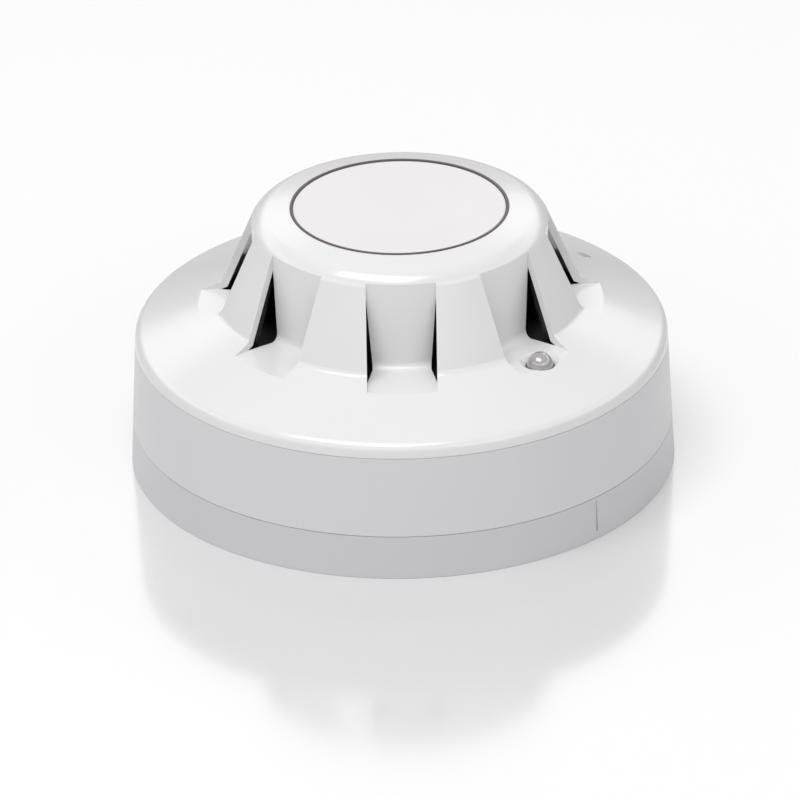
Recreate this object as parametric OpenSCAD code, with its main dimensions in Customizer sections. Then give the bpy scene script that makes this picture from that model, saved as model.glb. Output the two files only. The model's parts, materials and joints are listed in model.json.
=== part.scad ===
// Point heat detector: a sensing head that twists onto a wired mounting base.
// The back of the base lies on z = 0, the dome points along +Z, and lengths are millimetres.
// An angle round the axis starts at -Y, the front, and grows towards +X.

/* [Body] */
// Largest diameter, at the foot of the base
overall_d = 100; // [99:0.5:101]
// Height from the back of the base to the top of the accent ring
overall_h = 50; // [49.5:0.1:50.5]
// Height of the rim of the base that shows under the head
rim_h = 8.1; // [8:0.05:8.2]
// Height of the seam between the dome cover and the head body
seam_h = 23.5; // [23.2:0.1:23.8]
// Taper of the side, in radius per height
side_taper = 0.049; // [0.04:0.001:0.055]
// Thickness of the dome cover
cover_wall = 1.3; // [1.2:0.1:1.5]

/* [Dome] */
// Number of recesses round the dome
recesses = 8; // [8]
// Width of a recess between its parallel sides
recess_w = 12.6; // [12:0.1:13]
// Radius of the upright panel at the back of a recess
panel_r = 27; // [26.8:0.1:27.2]
// Height of the floor of a recess
floor_h = 30.5; // [30.3:0.1:30.7]
// Radius of the pocket for the cap in the crown
pocket_r = 20; // [19.8:0.05:20.2]

/* [Base] */
// Diameter of the cable entry
cable_d = 42; // [38:1:43]
// Distance between the centres of the two fixing slots
slot_spacing = 60; // [59:0.5:61]
// End to end length of a fixing slot
slot_l = 13.2; // [10:0.1:13.2]
// Width of a fixing slot
slot_w = 4.2; // [3.6:0.1:4.4]
// Angle that the head turns to lock
lock_turn = 20; // [18:1:20]

/* [Parts in the head] */
// Radius of the circuit board
board_r = 43.5; // [42:0.5:43.5]
// Distance of the indicator from the axis
led_r = 35.2; // [35:0.1:35.6]
// Distance of the locking screw from the axis
lock_r = 39.7; // [39.5:0.1:39.9]

/* [Hidden] */
$fn = 96;
step = 0.01;

// Seams between mouldings
seam_gap = 0.1;
rim_gap = 0.12;
cover_z = seam_h + seam_gap / 2;
body_top = seam_h - seam_gap / 2;
body_foot = rim_h + rim_gap;

// The foot of the dome, where its sloping face meets the shoulder, and the slopes of both
foot = [33.4, 32];
face_slope = 0.412;
shoulder_slope = 0.407;
crown_slope = 0.17;
crown_fillet = 4.2;
foot_fillet = 1.8;
edge_fillet = 2;
panel_fillet = 1.6;
pocket_depth = 1.8;
ring_w = 0.5;
ring_play = 0.04;
ring_rise = 0.2;
crown_top = overall_h - ring_rise;
crown_under = 46.6;
panel_top = crown_under + 0.2;

// Plates and rings of the head body
back_plate = [11.5, 13.3];
skirt_in_r = 47.6;
lip = [46, 46.85];
spigot = [42.6, 44];
spigot_foot = 3.6;
lug_r = 46;
lug_z = [3.7, 5.4];
lug_angles = [60, 175, 300];
lug_span = 14;
board_z = 16.5;
board_t = 1.6;
board_top = board_z + board_t;
pillar_angles = [90, 210, 330];
pillar_r = 38;
screw_pilot_r = 1.1;

// Plates and ledges of the base
floor_t = 2.6;
pocket_rise = 1.1;
collar_w = 1.4;
base_lip = [46.3, 47.4];
base_lip_top = 10.2;
ledge_in_r = 44.6;
ledge_z = [5.8, 7.4];
stop_in_r = 44.8;
stop_top = 8;
index_angle = 44.2;
rib_top = 8.6;

// Terminals, the last of which is the earth and has no tongue
terminal_angles = [30, 150, 210, 330, 0];
seat_top = 4;
terminal_w = 9;
screw_r = 29;
shank_r = 1.75;
hole_r = 1.84;
strip_t = 0.6;
clamp_z = 4.65;
clamp_t = 0.9;

// Contacts of the head, which stand lock_turn before their terminals until the head is locked
contact_count = 4;
blade_t = 0.5;
rivet_r = 32.5;

// Vent guard, indicator and locking screw
guard_floor = [28.1, 29.15];
guard_top = 46;
guard_r = 24.6;
vane_count = 24;
vane_l = 6.6;
vane_turn = 64;
lining_gap = 7.2;
post_angles = [15, 135, 255];
led_angle = 45;
led_body_r = 2.45;
led_centre_z = 29.7;
led_foot_z = 23.6;
lock_angle = 121;
lock_z = [9.4, 15.4];
lock_shank_r = 1.45;
lock_boss = [3.1, 9.6];

white = [0.94, 0.94, 0.94];
steel = [0.72, 0.73, 0.74];
black = [0.05, 0.05, 0.05];

function is_terminal(a) = len(search(a, terminal_angles)) > 0;
function side_r(z) = overall_d / 2 - side_taper * z;
function face_r(z) = foot[0] - (z - foot[1]) * face_slope;
function shoulder_z(r) = foot[1] - (r - foot[0]) * shoulder_slope;

// Where the sloping face meets the crown, and where the shoulder meets the side
crown_corner_z = (crown_top - (foot[0] + foot[1] * face_slope - pocket_r) * crown_slope)
    / (1 - face_slope * crown_slope);
crown_corner = [face_r(crown_corner_z), crown_corner_z];
edge_r = side_r(25.7);
edge_corner = [edge_r, shoulder_z(edge_r)];

// The inner foot, where the inner faces of the dome and the shoulder meet
face_wall = cover_wall * sqrt(1 + face_slope * face_slope);
shoulder_wall = cover_wall * sqrt(1 + shoulder_slope * shoulder_slope);
foot_drop = (face_wall * shoulder_slope - shoulder_wall) / (1 - face_slope * shoulder_slope);
inner_foot = [foot[0] - foot_drop * face_slope - face_wall, foot[1] + foot_drop];

// Points of the arc that rounds the corner b between a and c
function unit(v) = v / norm(v);
function fillet(a, b, c, r, n = 7) =
    let (u = unit(a - b), v = unit(c - b), half = acos(u * v) / 2)
    let (centre = b + unit(u + v) * r / sin(half))
    let (p = b + u * r / tan(half) - centre, q = b + v * r / tan(half) - centre)
    let (start = atan2(p[1], p[0]), sweep = (atan2(q[1], q[0]) - start + 540) % 360 - 180)
    [for (i = [0:n]) centre + r * [cos(start + sweep * i / n), sin(start + sweep * i / n)]];

// A strip of sheet bent along points, of one thickness measured upwards
function strip(points, t) =
    concat(points, [for (i = [len(points) - 1:-1:0]) points[i] + [0, t]]);

module at(angle, r = 0, z = 0) {
    rotate([0, 0, angle]) translate([0, -r, z]) children();
}

module ring(r_in, r_out, z, h) {
    translate([0, 0, z]) difference() {
        cylinder(r = r_out, h = h);
        translate([0, 0, -1]) cylinder(r = r_in, h = h + 2);
    }
}

// A ring cut to the span between two angles
module arc_block(r_in, r_out, z, h, from, to) {
    rotate([0, 0, from - 90]) translate([0, 0, z]) rotate_extrude(angle = to - from)
        polygon([[r_in, 0], [r_out, 0], [r_out, h], [r_in, h]]);
}

// A profile of points (distance from the axis, height), extruded across a width
module across(w, points) {
    rotate([0, 0, -90]) translate([0, w / 2, 0]) rotate([90, 0, 0]) linear_extrude(w) polygon(points);
}

// ---------- base ----------

module base_outline() {
    rotate_extrude() polygon([[cable_d / 2, 0], [overall_d / 2, 0], [side_r(rim_h), rim_h],
        [base_lip[1], rim_h], [base_lip[1], base_lip_top],
        [base_lip[0], base_lip_top], [base_lip[0], floor_t], [cable_d / 2 + collar_w, floor_t],
        [cable_d / 2 + collar_w, floor_t + 1], [cable_d / 2, floor_t + 1]]);
}

module fixing_slot() {
    run = (slot_l - slot_w) / 2;
    for (x = [-run, run]) translate([x, 0, -1]) cylinder(d = slot_w, h = 6);
    translate([-run, -slot_w / 2, -1]) cube([2 * run, slot_w, 6]);
}

module terminal_seat(angle, l) {
    at(angle) translate([-terminal_w / 2 - 0.6, -24 - l, floor_t - 0.5])
        cube([terminal_w + 1.2, l, seat_top - floor_t + 0.5]);
}

module bayonet_ledges() {
    for (a = lug_angles) {
        arc_block(ledge_in_r, base_lip[0] + 0.4, ledge_z[0], ledge_z[1] - ledge_z[0],
            a - lock_turn - 9, a - 9);
        for (from = [a - lock_turn - 12, a + 9])
            arc_block(stop_in_r, base_lip[0] + 0.5, floor_t - 0.5, stop_top - floor_t + 0.5,
                from, from + 3.4);
    }
}

// Shallow pockets between the ribs of the back, kept clear of the terminal screws and the slots
module back_pockets() {
    for (a = [0:30:330]) if (a % 180 != 90)
        arc_block(is_terminal(a) ? 33 : 24.5, 45.5, -1, pocket_rise + 1, a - 13, a + 13);
}

module base_moulding() {
    color(white) difference() {
        union() {
            base_outline();
            for (i = [0:4]) terminal_seat(terminal_angles[i], i < 4 ? 17.6 : 11);
            bayonet_ledges();
            arc_block(38, 41.4, floor_t - 0.5, rib_top - floor_t + 0.5,
                lock_angle - lock_turn + 3, lock_angle - lock_turn + 7);
        }
        for (s = [-1, 1]) translate([s * slot_spacing / 2, 0, 0]) fixing_slot();
        for (a = terminal_angles) at(a, screw_r, 1) cylinder(r = hole_r, h = 5);
        back_pockets();
        at(index_angle, overall_d / 2, 1.4) translate([-0.2, -0.5, 0]) cube([0.4, 1, 6.1]);
    }
}

module terminal_strip(i) {
    tongue = [[24.6, seat_top], [34.5, seat_top], [37.2, 8.2], [39.2, 8.5], [41.2, 6.6]];
    plain = [[24.6, seat_top], [34.2, seat_top]];
    color(steel) at(terminal_angles[i]) difference() {
        across(terminal_w, strip(i < 4 ? tongue : plain, strip_t));
        translate([0, -screw_r, seat_top - 1]) cylinder(r = hole_r, h = 3);
    }
}

module clamp_plate(i) {
    color(steel) at(terminal_angles[i], screw_r) difference() {
        union() {
            translate([-3.8, -3.8, clamp_z]) cube([7.6, 7.6, clamp_t]);
            for (s = [-1, 1]) translate([s * 3.4 - 0.4, -3.8, clamp_z + clamp_t - step])
                cube([0.8, 7.6, 0.8]);
        }
        translate([0, 0, clamp_z - 1]) cylinder(r = hole_r, h = 3);
    }
}

module terminal_screw(i) {
    head_z = clamp_z + clamp_t + 0.05;
    color(steel) at(terminal_angles[i], screw_r) difference() {
        union() {
            translate([0, 0, 1.3]) cylinder(r = shank_r, h = head_z - 1.3 + step);
            translate([0, 0, head_z]) cylinder(r = 2.9, h = 1.3);
            translate([0, 0, head_z + 1.3 - step]) cylinder(r1 = 2.9, r2 = 2.2, h = 0.7, $fn = 64);
        }
        for (a = [0, 90]) rotate([0, 0, a + 20 * i]) translate([-2.2, -0.4, head_z + 0.8])
            cube([4.4, 0.8, 3]);
    }
}

// ---------- head: mouldings ----------

module rim_seal() {
    color(black) ring(48.08, 48.72, rim_h + 0.04, 1.1);
}

module head_profile() {
    rotate_extrude() polygon([[0, back_plate[0]], [spigot[0], back_plate[0]],
        [spigot[0], spigot_foot], [spigot[1], spigot_foot], [spigot[1], back_plate[0]],
        [skirt_in_r, back_plate[0]], [skirt_in_r, body_foot], [48, body_foot],
        [48, body_foot + 1.1], [48.8, body_foot + 1.1], [48.8, body_foot],
        [side_r(body_foot), body_foot], [side_r(body_top), body_top], [lip[1], body_top],
        [lip[1], body_top + 1.1], [lip[0], body_top + 1.1], [lip[0], body_top - 1.6],
        [47.2, body_top - 1.6], [47.4, back_plate[1]], [0, back_plate[1]]]);
}

module head_body() {
    color(white) difference() {
        union() {
            head_profile();
            for (a = lug_angles) arc_block(spigot[1] - 0.4, lug_r, lug_z[0], lug_z[1] - lug_z[0],
                a - lug_span / 2, a + lug_span / 2);
            for (a = pillar_angles) at(a, pillar_r, back_plate[1] - 0.5)
                cylinder(r = 3, h = board_z - back_plate[1] + 0.5);
            at(lock_angle, lock_r, lock_boss[1]) cylinder(r = lock_boss[0], h = board_z - 0.1 - lock_boss[1]);
        }
        for (a = pillar_angles) at(a, pillar_r, 12.5) cylinder(r = screw_pilot_r, h = 5);
        at(lock_angle, lock_r, 5) cylinder(r = lock_shank_r + 0.05, h = 20);
        for (i = [0:contact_count - 1]) at(terminal_angles[i] + lock_turn, rivet_r, 10)
            cylinder(r = 1.2, h = 5);
    }
}

module cover_shell() {
    rotate_extrude() polygon(concat(
        [[0, crown_top - pocket_depth], [pocket_r, crown_top - pocket_depth], [pocket_r, crown_top]],
        fillet([pocket_r, crown_top], crown_corner, foot, crown_fillet),
        fillet(crown_corner, foot, edge_corner, foot_fillet),
        fillet(foot, edge_corner, [side_r(cover_z), cover_z], edge_fillet),
        [[side_r(cover_z), cover_z], [lip[1] + 0.15, cover_z],
            [lip[1] + 0.15, shoulder_z(lip[1]) - shoulder_wall],
            inner_foot, [face_r(crown_under) - face_wall, crown_under], [0, crown_under]]));
}

// What is cut away in front of a recess panel
module recess_cutter() {
    difference() {
        translate([-recess_w / 2, -42, floor_h]) cube([recess_w, 22, 25]);
        translate([0, 0, floor_h - 5]) cylinder(r = panel_r, h = 40);
    }
}

// The upright panel at the back of a recess, narrower at its foot, where it sweeps into the floor
module recess_panel() {
    top_w = recess_w / 2 + 0.05;
    foot_w = recess_w / 2 - 1;
    inner = panel_r - cover_wall;
    underside = floor_h - 1.3;
    intersection() {
        rotate_extrude() polygon(concat([[inner, underside], [inner, panel_top],
                [panel_r, panel_top]],
            fillet([panel_r, panel_top], [panel_r, floor_h], [30, floor_h], panel_fillet),
            [[panel_r + panel_fillet, underside]]));
        translate([0, -20, 0]) rotate([90, 0, 0]) linear_extrude(12)
            polygon([[-foot_w, 29], [foot_w, 29], [foot_w, 31], [top_w, 45], [top_w, 48],
                [-top_w, 48], [-top_w, 45], [-foot_w, 31]]);
    }
}

// The floor of a recess, with its sides drawn in so that air passes at the edges of the panel
module recess_floor() {
    wide = recess_w / 2 + 0.05;
    narrow = recess_w / 2 - 1;
    translate([0, 0, floor_h - 1.3]) linear_extrude(1.3) polygon([[-narrow, -panel_r + 1.2],
        [narrow, -panel_r + 1.2], [narrow, -27.5], [wide, -33], [wide, -34.5], [-wide, -34.5],
        [-wide, -33], [-narrow, -27.5]]);
}

module cover_tab() {
    translate([-4, -45.8, 19.9]) cube([8, 1.4, 6.2]);
    translate([-4, -46.5, 19.9]) cube([8, 1, 1.7]);
}

module dome_cover() {
    turn = 360 / recesses;
    color(white) difference() {
        union() {
            difference() {
                cover_shell();
                for (i = [0:recesses - 1]) rotate([0, 0, turn * i]) recess_cutter();
            }
            for (i = [0:recesses - 1]) rotate([0, 0, turn * i]) {
                recess_panel();
                recess_floor();
            }
            for (a = [22.5:90:359]) rotate([0, 0, a]) cover_tab();
        }
        at(led_angle, led_r, 20) cylinder(r = led_body_r + 0.2, h = 15);
        at(led_angle, led_r, floor_h - 0.75) cylinder(r1 = led_body_r + 0.2, r2 = 3.75, h = 0.8);
        at(lock_angle, lock_r, 20) cylinder(r = 1.3, h = 15);
        for (a = [0:120:240]) at(a, 12, 40) cylinder(r = 2.2, h = 15);
    }
}

module cap_disc() {
    color(white) {
        translate([0, 0, crown_top - pocket_depth])
            cylinder(r = pocket_r - ring_w - 2 * ring_play, h = pocket_depth - 0.05);
        for (a = [0:120:240]) at(a, 12, crown_under - 0.9) {
            cylinder(r = 2, h = 2.6);
            translate([-1, -2.6, 0]) cube([2, 1.2, 0.8]);
        }
    }
}

module accent_ring() {
    color([0.3, 0.28, 0.29]) ring(pocket_r - ring_w - ring_play, pocket_r - ring_play,
        crown_top - pocket_depth, pocket_depth + ring_rise);
}

// ---------- head: sensing parts ----------

// Dark walls that stand behind the buttresses, and leave the recesses free
module guard_lining() {
    low = guard_floor[1] - 0.5;
    difference() {
        rotate_extrude() polygon([[30.3, low], [31.2, low], [31.2, 31], [27.2, 41.5], [26.3, 41.5],
            [30.3, 31]]);
        for (i = [0:recesses - 1]) rotate([0, 0, 360 / recesses * i])
            translate([-lining_gap, -40, low - 1]) cube([2 * lining_gap, 20, 20]);
    }
}

module vent_guard() {
    color(black) difference() {
        union() {
            translate([0, 0, guard_floor[0]]) cylinder(r = 34, h = guard_floor[1] - guard_floor[0]);
            ring(20.5, guard_r, guard_top - 1.5, 1.5);
            for (i = [0:vane_count - 1]) rotate([0, 0, 360 / vane_count * i])
                translate([0, -22.5, guard_floor[1] - 0.5]) rotate([0, 0, vane_turn])
                    translate([-0.5, -vane_l / 2, 0])
                        cube([1, vane_l, guard_top - guard_floor[1] - 0.5]);
            guard_lining();
            for (a = post_angles) at(a, 27, board_top) cylinder(r = 2, h = guard_floor[0] - board_top + 0.5);
        }
        translate([0, 0, 20]) cylinder(r = 2.6, h = 15);
        at(led_angle, led_r, 20) cylinder(r = led_body_r + 0.35, h = 15);
    }
}

module indicator_led() {
    color([0.85, 0.85, 0.85, 0.6]) at(led_angle, led_r) {
        rotate_extrude($fn = 64) polygon(concat([[0, led_foot_z], [2.85, led_foot_z],
            [2.85, led_foot_z + 1], [led_body_r, led_foot_z + 1]],
            [for (a = [0:10:90]) [led_body_r * cos(a), led_centre_z + led_body_r * sin(a)]]));
    }
}

module led_frame() {
    color(steel) at(led_angle, led_r) {
        for (s = [-1, 1]) translate([s * 1.27 - 0.25, -0.25, board_z - 1])
            cube([0.5, 0.5, 26.6 - board_z + 1]);
        translate([-1.6, -0.4, 26.5]) cube([1.9, 0.8, 1.6]);
        translate([0.9, -0.3, 26.5]) cube([0.7, 0.6, 1.8]);
    }
}

module sensing_thermistor() {
    color([0.1, 0.12, 0.1]) rotate_extrude($fn = 48) polygon([[0, 37.6], [0.9, 38], [1.3, 39.2],
        [1.45, 40.2], [1.3, 41], [0.8, 41.6], [0, 41.8]]);
}

module thermistor_leads() {
    color(steel) for (s = [-1, 1]) translate([s * 0.6, 0, board_z - 1])
        cylinder(r = 0.22, h = 39.4 - board_z + 1, $fn = 24);
}

module thermistor_support() {
    color(black) ring(1.3, 2.3, board_top, 33.5 - board_top);
}

module reference_thermistor() {
    color([0.1, 0.12, 0.1]) {
        translate([10, 8, board_top + 2.6]) sphere(r = 1.3);
        for (s = [-1, 1]) translate([10 + s * 0.7, 8, board_top - 0.4]) cylinder(r = 0.22, h = 2.4, $fn = 24);
    }
}

// ---------- head: circuit ----------

module circuit_board() {
    color([0.08, 0.36, 0.2]) translate([0, 0, board_z]) difference() {
        cylinder(r = board_r, h = board_t);
        at(lock_angle, lock_r, -1) cylinder(r = 3.6, h = 4);
        for (a = pillar_angles) at(a, pillar_r, -1) cylinder(r = 1.3, h = 4);
        for (i = [0:contact_count - 1]) at(terminal_angles[i] + lock_turn, rivet_r, -1)
            cylinder(r = 0.6, h = 4);
        for (s = [-1, 1]) {
            translate([s * 0.6, 0, -1]) cylinder(r = 0.35, h = 4, $fn = 24);
            at(led_angle, led_r, -1) translate([s * 1.27, 0, 0]) cylinder(r = 0.45, h = 4, $fn = 24);
            translate([10 + s * 0.7, 8, -1]) cylinder(r = 0.35, h = 4, $fn = 24);
        }
    }
}

module detector_chip() {
    color(black) translate([-19, 4, board_top + 0.15]) cube([10.3, 7.5, 2.3]);
}

module chip_legs() {
    color(steel) for (i = [0:7], s = [0, 1])
        translate([-18.5 + i * 1.27, s ? 11.5 : 2.6, board_top]) cube([0.4, 1.4, 0.5]);
}

module can(x, y, r, h) {
    translate([x, y, board_top]) {
        translate([-r - 0.2, -r - 0.2, 0]) cube([2 * r + 0.4, 2 * r + 0.4, 0.8]);
        translate([0, 0, 0.8 - step]) cylinder(r = r, h = h);
    }
}

module supply_capacitor() { color(steel) can(12, -16, 3.15, 6.8); }
module timing_capacitor() { color(steel) can(20, -10, 2.5, 5.2); }

module surge_diodes() {
    color(black) for (i = [0:3]) translate([-24 + i * 5, -17, board_top]) {
        cube([3.6, 6, 2.2]);
        translate([0.8, -0.9, 0]) cube([2, 7.8, 0.5]);
    }
}

module output_transistor() {
    color(black) translate([-2, 19, board_top]) {
        cube([6.5, 3.5, 1.6]);
        for (i = [0:2]) translate([0.6 + i * 2.3, -1.6, 0]) cube([0.7, 1.8, 0.5]);
        translate([1.7, 3.3, 0]) cube([3.1, 1.8, 0.5]);
    }
}

module chip_resistors() {
    color(black) for (i = [0:5], j = [0, 1])
        translate([-15 + i * 3.4, -8.5 + j * 3.2, board_top]) cube([2, 1.25, 0.55]);
}

module chip_capacitors() {
    color([0.72, 0.6, 0.42]) for (i = [0:4]) translate([-16 + i * 3.8, 15.6, board_top])
        cube([2, 1.25, 1.1]);
}

module reed_switch() {
    color([0.6, 0.75, 0.7]) translate([-13, -28, board_top + 1.6]) rotate([0, 90, 0]) {
        cylinder(r = 1.15, h = 14);
        translate([0, 0, -3.2]) cylinder(r = 0.3, h = 20.4, $fn = 24);
    }
    color(steel) for (x = [-15.9, 3.9]) translate([x, -28, board_top]) cylinder(r = 0.3, h = 1.6, $fn = 24);
}

// ---------- head: contacts and fasteners ----------

module contact_blade(i) {
    bend = [[29.3, 10.95], [35.8, 10.95], [37.4, 9.35], [39.4, 9.2], [41.2, 10.4]];
    color(steel) at(terminal_angles[i] + lock_turn) difference() {
        across(7, strip(bend, blade_t));
        translate([0, -rivet_r, 9]) cylinder(r = 1.22, h = 4);
    }
}

module contact_rivets() {
    color(steel) for (i = [0:contact_count - 1]) at(terminal_angles[i] + lock_turn, rivet_r) {
        translate([0, 0, 10.3]) cylinder(r = 2.1, h = 0.63);
        translate([0, 0, 10.6]) cylinder(r = 1.15, h = 3.4);
        translate([0, 0, back_plate[1] + 0.03]) cylinder(r = 2, h = 0.7);
    }
}

module contact_pins() {
    color([0.8, 0.65, 0.3]) for (i = [0:contact_count - 1])
        at(terminal_angles[i] + lock_turn, rivet_r, back_plate[1] + 0.75) cylinder(r = 0.5, h = 5.4);
}

module board_screws() {
    color(steel) for (a = pillar_angles) at(a, pillar_r) difference() {
        union() {
            translate([0, 0, 13]) cylinder(r = screw_pilot_r - 0.03, h = board_top - 13 + step);
            translate([0, 0, board_top]) cylinder(r = 2.2, h = 1.5);
        }
        for (t = [0, 90]) rotate([0, 0, t]) translate([-1.5, -0.3, board_top + 0.7]) cube([3, 0.6, 2]);
    }
}

module lock_screw() {
    color([0.25, 0.25, 0.27]) at(lock_angle, lock_r) difference() {
        union() {
            translate([0, 0, lock_z[0]]) cylinder(r1 = 0.9, r2 = lock_shank_r, h = 0.8, $fn = 64);
            translate([0, 0, lock_z[0] + 0.8 - step]) cylinder(r = lock_shank_r, h = lock_z[1] - lock_z[0] - 0.8);
        }
        translate([0, 0, lock_z[1] - 2.2]) cylinder(d = 1.5 / cos(30), h = 4, $fn = 6);
    }
}

base_moulding();
for (i = [0:4]) {
    terminal_strip(i);
    clamp_plate(i);
    terminal_screw(i);
}
rim_seal();
head_body();
dome_cover();
cap_disc();
accent_ring();
vent_guard();
indicator_led();
led_frame();
sensing_thermistor();
thermistor_leads();
thermistor_support();
reference_thermistor();
circuit_board();
detector_chip();
chip_legs();
supply_capacitor();
timing_capacitor();
surge_diodes();
output_transistor();
chip_resistors();
chip_capacitors();
reed_switch();
for (i = [0:contact_count - 1])
    contact_blade(i);
contact_rivets();
contact_pins();
board_screws();
lock_screw();
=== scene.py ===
# %% [markdown]
# # A point heat detector
# The detector is a white head that twists onto a wired base. The frame holds every CAD piece at its
# true size and place, so this lesson only adds looks: it rounds the edges of the mouldings, models
# the small metal and glass pieces again in more detail, and gives each piece its finish.

# %% Load the frame
import json
from math import cos, pi, radians, sin
import bpy
from mathutils import Matrix, Vector


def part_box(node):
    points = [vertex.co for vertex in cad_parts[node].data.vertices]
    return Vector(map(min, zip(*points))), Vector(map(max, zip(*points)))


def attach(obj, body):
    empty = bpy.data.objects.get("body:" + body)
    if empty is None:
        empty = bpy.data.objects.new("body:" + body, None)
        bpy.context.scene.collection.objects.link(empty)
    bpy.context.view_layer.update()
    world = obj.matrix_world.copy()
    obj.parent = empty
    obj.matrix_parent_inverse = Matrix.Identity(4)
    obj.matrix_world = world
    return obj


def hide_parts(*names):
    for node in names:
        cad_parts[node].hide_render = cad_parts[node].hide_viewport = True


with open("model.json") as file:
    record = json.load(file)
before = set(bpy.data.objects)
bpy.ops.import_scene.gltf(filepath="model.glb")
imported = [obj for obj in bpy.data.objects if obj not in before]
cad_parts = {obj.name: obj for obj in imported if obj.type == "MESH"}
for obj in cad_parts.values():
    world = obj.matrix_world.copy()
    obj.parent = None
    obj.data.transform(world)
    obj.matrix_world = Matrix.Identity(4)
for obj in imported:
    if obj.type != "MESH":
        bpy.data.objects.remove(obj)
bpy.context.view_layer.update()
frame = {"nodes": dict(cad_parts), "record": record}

MM = 0.001
nodes = frame["nodes"]
print("CAD nodes:", len(nodes))

# %% [markdown]
# ## Camera
# A long lens far away keeps the ellipses of a round object nearly parallel, as product pictures do.
# It could be aimed at the middle of the object, but aiming it a little lower leaves the same room
# round the object without any lens shift. The slight roll matches a camera that was not quite level.

# %% Camera
TARGET = Vector((-0.45 * MM, 0, 25 * MM))
DISTANCE = 1.5
ELEVATION = radians(26.65)
AIM_LOWER = radians(0.5)
ROLL = radians(-0.91)

camera_data = bpy.data.cameras.new("camera")
camera_data.lens = 368.5
camera_data.sensor_width = 36
camera_data.clip_end = 20
camera = bpy.data.objects.new("camera", camera_data)
bpy.context.scene.collection.objects.link(camera)
bpy.context.scene.camera = camera
camera.location = TARGET + DISTANCE * Vector((0, -cos(ELEVATION), sin(ELEVATION)))
tip = Matrix.Rotation(pi / 2 - ELEVATION - AIM_LOWER, 4, "X")
camera.rotation_euler = (tip @ Matrix.Rotation(ROLL, 4, "Z")).to_euler()
print("camera at", [round(v, 3) for v in camera.location])

# %% [markdown]
# ## Floor and light
# White plastic on a white floor is read from its soft shading alone. The sky is a bright band low all
# round, like the paper walls of a light tent, and dimmer above. The glossy floor mirrors that band,
# and it looks a little greyer wherever it mirrors the object, from any side. One soft box above and
# to the left draws the bright bar along the edge of the crown and the thin arc on the shoulder. It
# could be done with many lamps, but a band has no seams that a gloss would show.

# %% Soft box
scene = bpy.context.scene
scene.view_settings.view_transform = "Standard"


def lamp(name, place, size, power):
    data = bpy.data.lights.new(name, "AREA")
    data.shape = "RECTANGLE"
    data.size, data.size_y = size
    data.energy = power
    light = bpy.data.objects.new(name, data)
    scene.collection.objects.link(light)
    light.location = place
    light.rotation_euler = (TARGET - Vector(place)).to_track_quat("-Z", "Y").to_euler()
    return light


lamp("soft box", (-0.29, -0.45, 1.5), (1.15, 0.8), 13.6)
lamp("front fill", (0.9, -1.3, 0.9), (0.8, 0.8), 1.2)
print("lamps ready")

# %% Sky with a bright band
BAND = ((0.3, 0.05), (0.35, 1.6), (0.54, 1.6), (0.62, 0.37))
STRONGEST = max(strength for height, strength in BAND)
sky = bpy.data.worlds.new("sky")
scene.world = sky
sky.use_nodes = True
tree = sky.node_tree
background = tree.nodes["Background"]
background.inputs["Strength"].default_value = STRONGEST
direction = tree.nodes.new("ShaderNodeTexCoord").outputs["Generated"]
parts = tree.nodes.new("ShaderNodeSeparateXYZ")
tree.links.new(direction, parts.inputs["Vector"])
band = tree.nodes.new("ShaderNodeValToRGB")
while len(band.color_ramp.elements) < len(BAND):
    band.color_ramp.elements.new(0.5)
for mark, (height, strength) in zip(band.color_ramp.elements, BAND):
    mark.position = height
    grey = strength / STRONGEST
    mark.color = (grey, grey, grey, 1)
tree.links.new(parts.outputs["Z"], band.inputs["Fac"])
tree.links.new(band.outputs["Color"], background.inputs["Color"])
print("sky ready")


# %% Floor
def floor_finish():
    made = bpy.data.materials.new("floor")
    made.use_nodes = True
    shader = made.node_tree.nodes["Principled BSDF"]
    shader.inputs["Base Color"].default_value = (0.73, 0.73, 0.735, 1)
    shader.inputs["Roughness"].default_value = 0.14
    shader.inputs["IOR"].default_value = 2.8
    return made


bpy.ops.mesh.primitive_plane_add(size=12, location=(0, 0, -0.05 * MM))
floor = bpy.context.object
floor.name = "floor"
floor.data.materials.append(floor_finish())
print("floor ready")

# %% [markdown]
# ## Finishes
# Every finish is made of nodes, so it needs no pictures. Each one starts the same way: a shader, and
# the Object coordinates, which are metres here, so a noise of scale 2000 has grains of half a
# millimetre. Values that are the same all over the surface are set on the shader itself.

# %% The start of every finish
def start_finish(name, metallic=0.0, **values):
    made = bpy.data.materials.new(name)
    made.use_nodes = True
    tree = made.node_tree
    shader = tree.nodes["Principled BSDF"]
    shader.inputs["Metallic"].default_value = metallic
    for socket, value in values.items():
        shader.inputs[socket.replace("_", " ")].default_value = value
    place = tree.nodes.new("ShaderNodeTexCoord").outputs["Object"]
    return made, tree, shader, place


def noise(tree, place, scale, detail=3.0, stretch=(1, 1, 1)):
    spread = tree.nodes.new("ShaderNodeMapping")
    spread.inputs["Scale"].default_value = stretch
    tree.links.new(place, spread.inputs["Vector"])
    grain = tree.nodes.new("ShaderNodeTexNoise")
    grain.inputs["Scale"].default_value = scale
    grain.inputs["Detail"].default_value = detail
    tree.links.new(spread.outputs["Vector"], grain.inputs["Vector"])
    return grain.outputs["Fac"]


def between(tree, share, low, high):
    ramp = tree.nodes.new("ShaderNodeValToRGB")
    ramp.color_ramp.elements[0].position = 0.3
    ramp.color_ramp.elements[1].position = 0.7
    ramp.color_ramp.elements[0].color = (*low, 1)
    ramp.color_ramp.elements[1].color = (*high, 1)
    tree.links.new(share, ramp.inputs["Fac"])
    return ramp.outputs["Color"]


def rough_between(tree, shader, share, low, high):
    spread = tree.nodes.new("ShaderNodeMapRange")
    spread.inputs["From Min"].default_value = 0.3
    spread.inputs["From Max"].default_value = 0.7
    spread.inputs["To Min"].default_value = low
    spread.inputs["To Max"].default_value = high
    tree.links.new(share, spread.inputs["Value"])
    tree.links.new(spread.outputs["Result"], shader.inputs["Roughness"])


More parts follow.
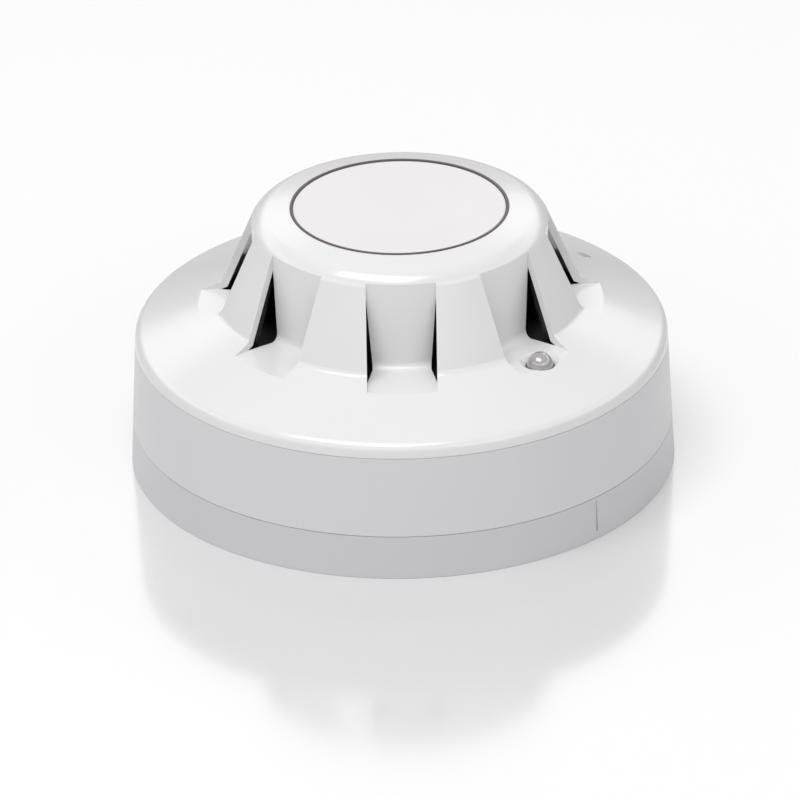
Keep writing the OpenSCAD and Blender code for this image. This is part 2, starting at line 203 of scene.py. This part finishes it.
def add_bump(tree, shader, height, strength, distance):
    bump = tree.nodes.new("ShaderNodeBump")
    bump.inputs["Strength"].default_value = strength
    bump.inputs["Distance"].default_value = distance
    tree.links.new(height, bump.inputs["Height"])
    if shader.inputs["Normal"].links:
        tree.links.new(shader.inputs["Normal"].links[0].from_socket, bump.inputs["Normal"])
    tree.links.new(bump.outputs["Normal"], shader.inputs["Normal"])


print("finish helpers ready")

# %% [markdown]
# ## Moulded plastic
# A polished mould still leaves a faint orange peel, and the flow of the plastic leaves tones that
# drift over a centimetre or two. A single colour would look like paint, so the finish mixes two near
# tones, lets the gloss drift too, and adds a very shallow grain. In trial renders a roughness that
# drifted over 0.2 to 0.26, 0.22 to 0.28 or 0.24 to 0.3 showed hard-edged patches, and 0.15 to 0.2
# and 0.3 to 0.36 showed none, so no finish drifts through the values in between.

# %% Moulded plastics
def moulded(name, low, high, gloss, grain_scale=700, grain_depth=0.0006 * MM, drift=24):
    made, tree, shader, place = start_finish(name, IOR=1.585)
    flow = noise(tree, place, drift, 2)
    tree.links.new(between(tree, flow, low, high), shader.inputs["Base Color"])
    rough_between(tree, shader, noise(tree, place, drift * 3, 2), *gloss)
    add_bump(tree, shader, noise(tree, place, 110, 0), 0.3, 0.008 * MM)
    add_bump(tree, shader, noise(tree, place, grain_scale, 2), 0.5, grain_depth)
    return made


white_cover = moulded("white cover", (0.805, 0.80, 0.803), (0.82, 0.815, 0.818), (0.15, 0.2))
white_body = moulded("white head body", (0.70, 0.695, 0.71), (0.715, 0.71, 0.725), (0.3, 0.36))
# The base is the same white plastic as the head, set darker as painted shade: the lower skirt near the
# floor gets less light.
white_base_painted_shade = moulded("white base painted shade", (0.62, 0.616, 0.638), (0.635, 0.631, 0.653), (0.3, 0.36))
cap_white = moulded("satin cap", (0.785, 0.755, 0.765), (0.80, 0.77, 0.78), (0.34, 0.42))
ring_grey = moulded("ring grey", (0.085, 0.068, 0.068), (0.125, 0.10, 0.098), (0.3, 0.45))
black_guard = moulded("black guard", (0.006, 0.006, 0.007), (0.012, 0.012, 0.013), (0.5, 0.65),
                      grain_scale=4200, grain_depth=0.012 * MM)
black_epoxy = moulded("chip epoxy", (0.012, 0.012, 0.013), (0.03, 0.03, 0.031), (0.42, 0.6),
                      grain_scale=9000, grain_depth=0.006 * MM)
seal_rubber = moulded("seal rubber", (0.012, 0.012, 0.012), (0.03, 0.03, 0.03), (0.62, 0.8),
                      grain_scale=5200, grain_depth=0.01 * MM)
bead_epoxy = moulded("bead epoxy", (0.01, 0.016, 0.013), (0.02, 0.03, 0.024), (0.08, 0.2))
ceramic = moulded("ceramic", (0.34, 0.24, 0.13), (0.47, 0.34, 0.2), (0.45, 0.6), grain_scale=9000)
print("plastics ready")

# %% [markdown]
# ## Metals
# Rolled strip shows fine lines along its length, plated screws show a cloudy blue and straw bloom,
# and drawn cans show rings. One stretched noise makes the lines: it is squeezed along one axis. The
# lines drive the roughness and a shallow bump, so they catch the light and do not look painted.

# %% Metals
def metal(name, low, high, gloss, stretch=(1, 1, 1), scale=900, depth=0.006 * MM):
    made, tree, shader, place = start_finish(name, metallic=1.0)
    bloom = noise(tree, place, 160, 3)
    tree.links.new(between(tree, bloom, low, high), shader.inputs["Base Color"])
    lines = noise(tree, place, scale, 4, stretch)
    rough_between(tree, shader, lines, *gloss)
    add_bump(tree, shader, lines, 0.4, depth)
    return made


strip_steel = metal("rolled strip", (0.55, 0.545, 0.53), (0.66, 0.655, 0.645), (0.3, 0.38), (1, 9, 1))
zinc_plate = metal("zinc plate", (0.55, 0.56, 0.60), (0.68, 0.65, 0.56), (0.3, 0.42))
black_oxide = metal("black oxide", (0.05, 0.05, 0.055), (0.1, 0.1, 0.11), (0.35, 0.55))
rivet_brass = metal("rivet brass", (0.66, 0.48, 0.22), (0.76, 0.60, 0.34), (0.3, 0.42))
tin_solder = metal("tin solder", (0.62, 0.62, 0.63), (0.74, 0.74, 0.74), (0.12, 0.2), scale=2400)
can_metal = metal("can aluminium", (0.70, 0.71, 0.72), (0.80, 0.80, 0.80), (0.3, 0.38), (1, 1, 14))
print("metals ready")

# %% [markdown]
# ## Clear epoxy and glass
# The indicator is a milky epoxy lens: part of the light passes, and part is scattered back as grey.
# So its finish is half see-through, with a faint cloud. A clear coat over it gives the small bright
# highlight of a polished dome. Full scattering inside the lens could be simulated instead; the mix
# was chosen because it is simpler.

# %% Clear finishes
def clear(name, low, high, gloss, index, passed, **coat):
    made, tree, shader, place = start_finish(name, IOR=index, Transmission_Weight=passed, **coat)
    tree.links.new(between(tree, noise(tree, place, 500, 2), low, high), shader.inputs["Base Color"])
    rough_between(tree, shader, noise(tree, place, 1500, 3), *gloss)
    return made


lens_epoxy = clear("lens epoxy", (0.60, 0.58, 0.585), (0.68, 0.655, 0.66), (0.04, 0.1), 1.53, 0.35,
                   Coat_Weight=1.0, Coat_IOR=1.75)
reed_glass = clear("reed glass", (0.55, 0.72, 0.64), (0.66, 0.80, 0.72), (0.02, 0.08), 1.5, 0.9)
print("clear finishes ready")

# %% [markdown]
# ## Circuit board
# Solder mask is thin and glossy, and the copper under it shows as lighter, slightly raised tracks.
# A brick pattern draws straight tracks of different lengths with square turns. It could be modelled,
# but a track is only 0.035 mm high, so colour and a shallow bump say the same.

# %% Solder mask
def solder_mask():
    made, tree, shader, place = start_finish("solder mask", IOR=1.5)
    tracks = tree.nodes.new("ShaderNodeTexBrick")
    tracks.inputs["Scale"].default_value = 260
    tracks.inputs["Mortar Size"].default_value = 0.035
    tracks.inputs["Brick Width"].default_value = 1.7
    tracks.inputs["Row Height"].default_value = 0.42
    tracks.inputs["Color1"].default_value = (0.012, 0.10, 0.042, 1)
    tracks.inputs["Color2"].default_value = (0.014, 0.115, 0.05, 1)
    tracks.inputs["Mortar"].default_value = (0.03, 0.2, 0.085, 1)
    tree.links.new(place, tracks.inputs["Vector"])
    tree.links.new(tracks.outputs["Color"], shader.inputs["Base Color"])
    rough_between(tree, shader, noise(tree, place, 700, 3), 0.3, 0.38)
    add_bump(tree, shader, tracks.outputs["Fac"], 0.5, 0.03 * MM)
    return made


board_mask = solder_mask()
print("board finish ready")

# %% [markdown]
# ## Dress the CAD pieces
# Most CAD pieces already have the right shape, so they stay and only get a finish. Pieces that are
# modelled again below take the place of their CAD node, but that node is dressed too.

# %% Finishes on the CAD nodes
FINISH = {
    "base_moulding": white_base_painted_shade, "head_body": white_body, "dome_cover": white_cover,
    "cap_disc": cap_white, "accent_ring": ring_grey, "vent_guard": black_guard,
    "thermistor_support": black_guard, "rim_seal": seal_rubber, "indicator_led": lens_epoxy,
    "led_frame": strip_steel, "sensing_thermistor": bead_epoxy, "reference_thermistor": bead_epoxy,
    "thermistor_leads": tin_solder, "circuit_board": board_mask, "detector_chip": black_epoxy,
    "chip_legs": tin_solder, "supply_capacitor": can_metal, "timing_capacitor": can_metal,
    "surge_diodes": black_epoxy, "output_transistor": black_epoxy, "chip_resistors": black_epoxy,
    "chip_capacitors": ceramic, "reed_switch": reed_glass, "contact_rivets": rivet_brass,
    "contact_pins": tin_solder, "board_screws": zinc_plate, "lock_screw": black_oxide,
}
for start, finish in (("terminal_strip", strip_steel), ("clamp_plate", zinc_plate),
                      ("terminal_screw", zinc_plate), ("contact_blade", strip_steel)):
    FINISH.update({name: finish for name in nodes if name.startswith(start)})


def dress(piece, finish):
    piece.data.materials.clear()
    piece.data.materials.append(finish)


for name, piece in nodes.items():
    dress(piece, FINISH[name])
print("dressed", len(nodes), "nodes")

# %% [markdown]
# ## Rounded mouldings
# No moulding has a knife edge: a mould maker leaves a radius of a quarter of a millimetre, and that
# radius is what draws a thin highlight round each vent. The shape is already exact, so each moulding
# is a copy of its CAD mesh. Its loose triangles are merged, the flat ones are dissolved into whole
# faces, and a Bevel rounds what is left of the sharp edges. Rounding by hand would give the same
# result edge by edge, so the modifier is the better choice.

# %% Round the edges of a moulding
body_of_node = {n: body for body, members in frame["record"]["behaviour"]["bodies"].items()
                for n in members}
MERGE = 0.002 * MM
SHARP = radians(15)


def deselect():
    bpy.ops.object.select_all(action="DESELECT")


def activate(piece):
    deselect()
    piece.select_set(True)
    bpy.context.view_layer.objects.active = piece


def bevel_edges(piece, radius, segments=2):
    activate(piece)
    edge = piece.modifiers.new("rounded edges", "BEVEL")
    edge.width = radius
    edge.segments = segments
    edge.limit_method = "ANGLE"
    edge.angle_limit = SHARP
    bpy.ops.object.modifier_apply(modifier=edge.name)


def smooth(piece):
    activate(piece)
    bpy.ops.object.shade_smooth_by_angle(angle=radians(40))
    even = piece.modifiers.new("even shading", "WEIGHTED_NORMAL")
    even.keep_sharp = True
    bpy.ops.object.modifier_apply(modifier=even.name)


def stand_for(piece, *names):
    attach(piece, body_of_node[names[0]])
    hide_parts(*names)


def rounded(name, radius, segments=2):
    piece = bpy.data.objects.new(name + "_rounded", nodes[name].data.copy())
    scene.collection.objects.link(piece)
    activate(piece)
    bpy.ops.object.mode_set(mode="EDIT")
    bpy.ops.mesh.select_all(action="SELECT")
    bpy.ops.mesh.remove_doubles(threshold=MERGE)
    bpy.ops.mesh.dissolve_limited(angle_limit=radians(0.6))
    bpy.ops.object.mode_set(mode="OBJECT")
    bevel_edges(piece, radius, segments)
    smooth(piece)
    dress(piece, FINISH[name])
    stand_for(piece, name)
    return piece


RADIUS = {"dome_cover": 0.28, "head_body": 0.22, "base_moulding": 0.22, "cap_disc": 0.22,
          "accent_ring": 0.1, "vent_guard": 0.12, "circuit_board": 0.1, "thermistor_support": 0.15,
          "rim_seal": 0.15}
for name in nodes:
    if name.startswith(("terminal_strip", "contact_blade")):
        RADIUS[name] = 0.07
    if name.startswith("clamp_plate"):
        RADIUS[name] = 0.1
for name, radius in RADIUS.items():
    made = rounded(name, radius * MM)
    print(made.name, len(made.data.polygons), "faces")

# %% [markdown]
# ## Tools for the small pieces
# Screws, rivets, cans and beads are turned: they are round about one axis. A lathe follows a profile,
# and so does the helper below: it adds a short cylinder and then lifts and scales its top face step
# by step. Chips and sockets start as a block. Their places are measured on the CAD solids, so no
# place is typed twice.

# %% Measure the solids of a node
def solids(name):
    copy = bpy.data.objects.new("measured", nodes[name].data.copy())
    scene.collection.objects.link(copy)
    activate(copy)
    bpy.ops.object.mode_set(mode="EDIT")
    bpy.ops.mesh.select_all(action="SELECT")
    bpy.ops.mesh.remove_doubles(threshold=MERGE)
    bpy.ops.mesh.separate(type="LOOSE")
    bpy.ops.object.mode_set(mode="OBJECT")
    boxes = []
    for part in list(bpy.context.selected_objects):
        points = [vertex.co for vertex in part.data.vertices]
        low = Vector(min(p[axis] for p in points) for axis in range(3))
        high = Vector(max(p[axis] for p in points) for axis in range(3))
        boxes.append((low, high))
        bpy.data.objects.remove(part)
    return sorted(boxes, key=lambda box: tuple(round(v, 5) for v in box[0]))


print("board screws:", len(solids("board_screws")), "chip legs:", len(solids("chip_legs")))


# %% A lathe
def select_top(piece):
    bpy.context.tool_settings.mesh_select_mode = (False, False, True)
    activate(piece)
    bpy.ops.object.mode_set(mode="EDIT")
    bpy.ops.mesh.select_all(action="DESELECT")
    bpy.ops.object.mode_set(mode="OBJECT")
    max(piece.data.polygons, key=lambda face: face.center.z).select = True
    bpy.ops.object.mode_set(mode="EDIT")


def widen(share, centre, z):
    bpy.ops.transform.resize(value=(share, share, 1), center_override=(centre.x, centre.y, z))


def turned(name, centre, steps, sides=48):
    (radius, foot), (second, height) = steps[:2]
    deselect()
    middle = (centre.x, centre.y, (foot + height) / 2)
    bpy.ops.mesh.primitive_cylinder_add(vertices=sides, radius=radius, depth=height - foot,
                                        location=middle)
    piece = bpy.context.object
    piece.name = name
    bpy.ops.object.transform_apply(location=True)
    select_top(piece)
    widen(second / radius, centre, height)
    radius = second
    for wider, higher in steps[2:]:
        rise = {"value": (0, 0, higher - height)}
        bpy.ops.mesh.extrude_region_move(TRANSFORM_OT_translate=rise)
        widen(wider / radius, centre, higher)
        radius, height = wider, higher
    bpy.ops.object.mode_set(mode="OBJECT")
    return piece


def dome(radius, z, height, count=8):
    angles = [radians(86 * step / count) for step in range(1, count + 1)]
    return [(radius * cos(angle), z + height * sin(angle)) for angle in angles]


print("lathe ready")


# %% Blocks, cuts and groups
def block(name, low, high, turn=0.0):
    deselect()
    bpy.ops.mesh.primitive_cube_add(size=1, location=(low + high) / 2, scale=high - low,
                                    rotation=(0, 0, turn))
    piece = bpy.context.object
    piece.name = name
    bpy.ops.object.transform_apply(location=True, rotation=True, scale=True)
    return piece


def narrow_top(piece, share):
    low, high = Vector(piece.bound_box[0]), Vector(piece.bound_box[6])
    select_top(piece)
    widen(share, (low + high) / 2, high.z)
    bpy.ops.object.mode_set(mode="OBJECT")


def cut(piece, cutter):
    activate(piece)
    tool = piece.modifiers.new("cut", "BOOLEAN")
    tool.operation = "DIFFERENCE"
    tool.solver = "EXACT"
    tool.object = cutter
    bpy.ops.object.modifier_apply(modifier=tool.name)
    bpy.data.objects.remove(cutter)


def together(name, parts):
    deselect()
    for part in parts:
        part.select_set(True)
    bpy.context.view_layer.objects.active = parts[0]
    bpy.ops.object.join()
    whole = bpy.context.object
    whole.name = name
    return whole


def finished(piece, finish, radius=0.0):
    if radius:
        bevel_edges(piece, radius)
    smooth(piece)
    dress(piece, finish)
    return piece


print("block, cut and group ready")

# %% [markdown]
# ## Indicator
# A 5 mm indicator is a lens cast round a lead frame: a collar at its foot, a straight side and a
# dome. Inside, one lead ends in a cup that holds the chip, and the other in a small anvil. The lens
# is turned on the lathe. The cup is turned too, with its hollow made by stepping back down.

# %% The lens
low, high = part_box("indicator_led")
led = (low + high) / 2
collar_r = (high.x - low.x) / 2
lens_r = collar_r - 0.4 * MM
dome_z = high.z - lens_r
lens = turned("indicator_lens", led, [(collar_r, low.z), (collar_r, low.z + 1 * MM),
              (lens_r, low.z + 1 * MM), (lens_r, dome_z), *dome(lens_r, dome_z, lens_r, 12)], 64)
stand_for(finished(lens, lens_epoxy), "indicator_led")
print("lens", round(2 * lens_r / MM, 2), "mm across")

# %% The lead frame
low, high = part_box("led_frame")
sideways = Vector((-led.y, led.x, 0)).normalized()
cup_rim = high.z - 0.2 * MM
cup = turned("cup", led, [(0.4 * MM, cup_rim - 1.3 * MM), (0.6 * MM, cup_rim - 0.9 * MM),
             (0.95 * MM, cup_rim), (0.8 * MM, cup_rim), (0.45 * MM, cup_rim - 0.5 * MM)], 32)
frame_parts = [finished(cup, tin_solder)]
LEAD_HALF = Vector((0.25, 0.25, 0)) * MM
LEAD_APART = 2.54 * MM
LEAD_TURN = radians(45)
for side in (-1, 1):
    foot = led + side * LEAD_APART / 2 * sideways
    top = high.z if side == 1 else cup_rim - 0.9 * MM
    lead = block("lead", Vector((foot.x, foot.y, low.z)) - LEAD_HALF,
                 Vector((foot.x, foot.y, top)) + LEAD_HALF, LEAD_TURN)
    frame_parts.append(finished(lead, tin_solder, 0.05 * MM))
bridge_middle = led - 0.65 * MM * sideways
reach = Vector((0.8, 0.22, 0.18)) * MM
bridge_middle.z = cup_rim - 1.1 * MM
bridge = block("bridge", bridge_middle - reach, bridge_middle + reach, LEAD_TURN)
frame_parts.append(finished(bridge, tin_solder, 0.05 * MM))
stand_for(together("indicator_frame", frame_parts), "led_frame")
print("lead frame of", len(frame_parts), "parts")

# %% [markdown]
# ## Screws
# A real thread is a helix. Rings of the same pitch stand in for it here, because the lathe can make
# them, so each screw is turned with a ring for each turn of its thread. The drives are cut by a
# Boolean: a cross with two blocks, and the hex socket of the locking screw with a six-sided cylinder.

# %% A screw
def thread(crest, root, low, high, pitch):
    steps = []
    for ring in range(int((high - low) / pitch)):
        z = low + ring * pitch
        steps += [(root, z + 0.1 * pitch), (crest, z + 0.45 * pitch), (crest, z + 0.6 * pitch),
                  (root, z + 0.95 * pitch)]
    return steps + [(root, high)]


def cross_screw(box, shank_r, head_r, head_h, pitch, slot_w, turn):
    low, high = box
    centre = (low + high) / 2
    under = high.z - head_h
    root = shank_r - 0.5 * pitch
    steps = [(0.6 * root, low.z), (root, low.z + 0.3 * MM)]
    steps += thread(shank_r, root, low.z + 0.3 * MM, under, pitch)
    steps += [(head_r, under), (head_r, high.z - 0.35 * head_h), (0.93 * head_r, high.z - 0.18 * head_h),
              (0.76 * head_r, high.z)]
    screw = turned("screw", centre, steps)
    arm = Vector((0.75 * head_r, slot_w / 2, 0.6 * head_h))
    for quarter in (0, radians(90)):
        middle = Vector((centre.x, centre.y, high.z))
        cut(screw, block("cutter", middle - arm, middle + arm, turn + quarter))
    return finished(screw, zinc_plate)


for name in [n for n in nodes if n.startswith("terminal_screw")]:
    number = int(name[-1])
    made = cross_screw(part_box(name), shank_r=1.75 * MM, head_r=2.9 * MM, head_h=2 * MM,
                       pitch=0.6 * MM, slot_w=0.8 * MM, turn=radians(20 * number + 35))
    made.name = "clamp_screw_" + name[-1]
    stand_for(made, name)
    print(made.name, len(made.data.polygons), "faces")

# %% The board screws and the locking screw
small = [cross_screw(box, shank_r=1.07 * MM, head_r=2.2 * MM, head_h=1.5 * MM, pitch=0.5 * MM,
                     slot_w=0.6 * MM, turn=radians(17 + 40 * number))
         for number, box in enumerate(solids("board_screws"))]
stand_for(together("board_screw_set", small), "board_screws")

low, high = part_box("lock_screw")
centre = (low + high) / 2
LOCK_ROOT_R = 1.2 * MM
LOCK_POINT = 0.8 * MM
SOCKET_R = 0.87 * MM
SOCKET_DEPTH = 2.2 * MM
lock_steps = [(0.8 * MM, low.z), (LOCK_ROOT_R, low.z + LOCK_POINT)]
lock_steps += thread(1.45 * MM, LOCK_ROOT_R, low.z + LOCK_POINT, high.z - 0.2 * MM, 0.5 * MM)
grub = turned("locking_screw", centre, lock_steps + [(1.1 * MM, high.z)])
deselect()
bpy.ops.mesh.primitive_cylinder_add(vertices=6, radius=SOCKET_R, depth=2 * SOCKET_DEPTH,
                                    location=(centre.x, centre.y, high.z))
cut(grub, bpy.context.object)
stand_for(finished(grub, black_oxide), "lock_screw")
print("locking screw", len(grub.data.polygons), "faces")

# %% [markdown]
# ## Rivets and pins
# A hollow rivet holds each blade to the head: a domed head below, a shank, and a rolled collar above.
# The pin that joins it to the board stands in a cone of solder. Both are lathe work.

# %% Rivets and pins
def rivet(box):
    low, high = box
    edge = (high.x - low.x) / 2
    collar = high.z - 0.7 * MM
    steps = [(0.5 * edge, low.z), (0.8 * edge, low.z + 0.12 * MM), (0.97 * edge, low.z + 0.35 * MM),
             (edge, low.z + 0.63 * MM), (1.15 * MM, low.z + 0.63 * MM), (1.15 * MM, collar),
             (0.9 * edge, collar), (0.95 * edge, collar + 0.3 * MM), (0.8 * edge, high.z),
             (0.45 * edge, high.z), (0.4 * edge, high.z - 0.4 * MM)]
    return finished(turned("rivet", (low + high) / 2, steps), rivet_brass)


def pin(box):
    low, high = box
    board_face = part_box("circuit_board")[1].z
    steps = [(0.5 * MM, low.z), (0.5 * MM, board_face), (1.1 * MM, board_face),
             (0.75 * MM, board_face + 0.35 * MM), (0.5 * MM, board_face + 0.8 * MM),
             (0.5 * MM, high.z - 0.15 * MM), (0.3 * MM, high.z)]
    return finished(turned("pin", (low + high) / 2, steps, 32), tin_solder)


stand_for(together("rivet_set", [rivet(box) for box in solids("contact_rivets")]), "contact_rivets")
stand_for(together("pin_set", [pin(box) for box in solids("contact_pins")]), "contact_pins")
print("rivets and pins done")

# %% [markdown]
# ## Parts on the board
# The cans, the chip and the small chips are what shows when the cover is off. A can has a groove
# pressed in near its foot and a flat top with a rolled edge. A chip is moulded with sloping sides and
# a dimple by its first leg. Each leg is three straight runs: out of the side, down, and a foot along
# the board that starts just past the drop. The smallest parts have tinned ends. What repeats is
# modelled once as a function and made again at every CAD solid.

# %% Cans
def can(name, node):
    low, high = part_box(node)
    foot = low.z + 0.8 * MM
    centre = (low + high) / 2
    r = (high.x - low.x) / 2 - 0.2 * MM
    base = block("foot", low, Vector((high.x, high.y, foot)))
    steps = [(0.96 * r, foot), (r, foot + 0.2 * MM), (r, foot + 0.7 * MM), (0.9 * r, foot + 0.95 * MM),
             (0.9 * r, foot + 1.15 * MM), (r, foot + 1.4 * MM), (r, high.z - 0.3 * MM),
             (0.95 * r, high.z), (0.88 * r, high.z), (0.86 * r, high.z - 0.12 * MM)]
    shell = finished(turned("shell", centre, steps), can_metal)
    stand_for(together(name, [shell, finished(base, black_epoxy, 0.15 * MM)]), node)


can("supply_can", "supply_capacitor")
can("timing_can", "timing_capacitor")
print("cans done")


# %% The chip and its legs
low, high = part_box("detector_chip")
chip = block("chip_body", low, high)
narrow_top(chip, 0.95)
dimple = Vector((low.x + 1.2 * MM, low.y + 1.2 * MM, high.z))
deselect()
bpy.ops.mesh.primitive_cylinder_add(vertices=24, radius=0.45 * MM, depth=0.2 * MM, location=dimple)
cut(chip, bpy.context.object)
stand_for(finished(chip, black_epoxy, 0.06 * MM), "detector_chip")
chip_middle = (low + high) / 2


def stepped_leg(box):
    low, high = box
    outward = 1 if (low.y + high.y) / 2 > chip_middle.y else -1
    tip = high.y if outward == 1 else low.y
    shoulder = tip - outward * (high.y - low.y)
    elbow = shoulder + outward * 0.35 * MM
    thick = 0.16 * MM
    top = low.z + 1.1 * MM

    def run(start, end, bottom, upper):
        return block("run", Vector((low.x, min(start, end) - thick / 2, bottom)),
                     Vector((high.x, max(start, end) + thick / 2, upper)))

    bends = [run(shoulder - outward * 0.3 * MM, elbow, top, top + thick),
             run(elbow, elbow, low.z, top + thick),
             run(shoulder + outward * 0.65 * MM, tip, low.z, low.z + thick)]
    return finished(together("leg", bends), tin_solder)


stand_for(together("chip_leg_set", [stepped_leg(box) for box in solids("chip_legs")]), "chip_legs")
print("chip and legs done")


# %% Tinned chips
def tinned_chip(box, body_finish):
    low, high = box
    cap = 0.22 * (high.x - low.x)
    skin = Vector((0, 0.02, 0.02)) * MM
    body = finished(block("body", low + skin + Vector((cap / 2, 0, 0)),
                          high - skin - Vector((cap / 2, 0, 0))), body_finish, 0.03 * MM)
    left = finished(block("left", low, Vector((low.x + cap, high.y, high.z))), tin_solder, 0.05 * MM)
    right = finished(block("right", Vector((high.x - cap, low.y, low.z)), high), tin_solder, 0.05 * MM)
    return together("chip", [body, left, right])


stand_for(together("resistor_set", [tinned_chip(box, black_epoxy) for box in solids("chip_resistors")]),
          "chip_resistors")
stand_for(together("ceramic_set", [tinned_chip(box, ceramic) for box in solids("chip_capacitors")]),
          "chip_capacitors")
print("tinned chips done")


# %% Diodes and transistor
def leaded(box, name, overhang, lead_h, leads):
    low, high = box
    size = high - low
    body = block("body", low + Vector((0, overhang, 0.1 * MM)), high - Vector((0, overhang, 0)))
    narrow_top(body, 0.9)
    parts = [finished(body, black_epoxy, 0.08 * MM)]
    for across, half, start, end in leads:
        x = low.x + across * size.x
        lead = block("lead", Vector((x - half, low.y + start * size.y, low.z)),
                     Vector((x + half, low.y + end * size.y, low.z + lead_h)))
        parts.append(finished(lead, tin_solder, 0.05 * MM))
    return together(name, parts)


# Each lead is its place across the part, its half width, and where it starts and ends along the part.
DIODE_LEADS = [(0.5, 1 * MM, 0, 1)]
TRANSISTOR_LEADS = [(across, 0.35 * MM, 0, 0.5) for across in (0.145, 0.5, 0.855)]
TRANSISTOR_LEADS.append((0.5, 1.55 * MM, 0.5, 1))
diodes = [leaded(box, "diode", 0.9 * MM, 0.4 * MM, DIODE_LEADS) for box in solids("surge_diodes")]
stand_for(together("diode_set", diodes), "surge_diodes")
transistor = leaded(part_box("output_transistor"), "transistor_body", 1.6 * MM, 0.45 * MM,
                    TRANSISTOR_LEADS)
stand_for(transistor, "output_transistor")
print("diodes and transistor done")

# %% [markdown]
# ## Reed switch and thermistors
# A reed switch is a thin glass capsule with drawn-in ends, and two flat reeds that almost meet. It is
# turned upright and then laid on its side. A thermistor is a bead dipped in epoxy, which runs a
# little way down its leads, so its foot is drawn out.

# %% Reed switch
low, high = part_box("reed_switch")
reed_z = high.z - 1.15 * MM
middle = Vector(((low.x + high.x) / 2, (low.y + high.y) / 2, reed_z))
half = 7 * MM
glass_r = 1.15 * MM
thin = 0.12 * MM
steps = [(0.3 * MM, -half), (0.55 * MM, -half + 0.3 * MM), (0.95 * MM, -half + 0.9 * MM),
         (glass_r, -half + 1.6 * MM), (glass_r, half - 1.6 * MM), (0.95 * MM, half - 0.9 * MM),
         (0.55 * MM, half - 0.3 * MM), (0.3 * MM, half)]
capsule = turned("capsule", Vector((0, 0, 0)), steps, 32)
activate(capsule)
capsule.rotation_euler = (0, radians(90), 0)
capsule.location = middle
bpy.ops.object.transform_apply(location=True, rotation=True)
reed_parts = [finished(capsule, reed_glass)]
for side in (-1, 1):
    inner = middle.x - side * 0.9 * MM
    outer = middle.x + side * (high.x - low.x) / 2
    level = reed_z + side * 0.16 * MM
    reed = block("reed", Vector((min(inner, outer), middle.y - 0.3 * MM, level - thin)),
                 Vector((max(inner, outer), middle.y + 0.3 * MM, level + thin)))
    reed_parts.append(finished(reed, tin_solder, 0.04 * MM))
    post = turned("post", Vector((outer - side * 0.3 * MM, middle.y, 0)),
                  [(0.8 * MM, low.z), (0.5 * MM, low.z + 0.4 * MM), (0.28 * MM, low.z + 0.8 * MM),
                   (0.28 * MM, reed_z)], 24)
    reed_parts.append(finished(post, tin_solder))
stand_for(together("reed_capsule", reed_parts), "reed_switch")
print("reed switch of", len(reed_parts), "parts")


# %% Thermistors
def bead(name, centre, r, foot, top):
    steps = [(0.45 * r, foot), (0.7 * r, foot + 0.35 * r), (0.92 * r, foot + 0.8 * r),
             (r, foot + 1.3 * r), (r, top - r)] + dome(r, top - r, r)
    return finished(turned(name, centre, steps), bead_epoxy)


low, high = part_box("sensing_thermistor")
sensing = bead("thermistor_bead", (low + high) / 2, (high.x - low.x) / 2, low.z, high.z)
stand_for(sensing, "sensing_thermistor")

boxes = solids("reference_thermistor")
widest = max(boxes, key=lambda box: box[1].x - box[0].x)
low, high = widest
reference_r = 1.3 * MM
parts = [bead("bead", (low + high) / 2, reference_r, high.z - 2 * reference_r, high.z)]
board_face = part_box("circuit_board")[1].z
for side in (-1, 1):
    foot = (low + high) / 2 + Vector((side * 0.7 * MM, 0, 0))
    leg = turned("leg", foot, [(0.7 * MM, board_face), (0.4 * MM, board_face + 0.3 * MM),
                 (0.22 * MM, board_face + 0.6 * MM), (0.22 * MM, high.z - 1.4 * reference_r)], 24)
    parts.append(finished(leg, tin_solder))
stand_for(together("reference_bead", parts), "reference_thermistor")

leads = []
for low, high in solids("thermistor_leads"):
    centre = (low + high) / 2
    r = (high.x - low.x) / 2
    steps = [(r, low.z), (r, board_face), (0.55 * MM, board_face), (r, board_face + 0.5 * MM),
             (r, high.z)]
    leads.append(finished(turned("lead", centre, steps, 24), tin_solder))
stand_for(together("thermistor_lead_pair", leads), "thermistor_leads")
print("thermistors done")
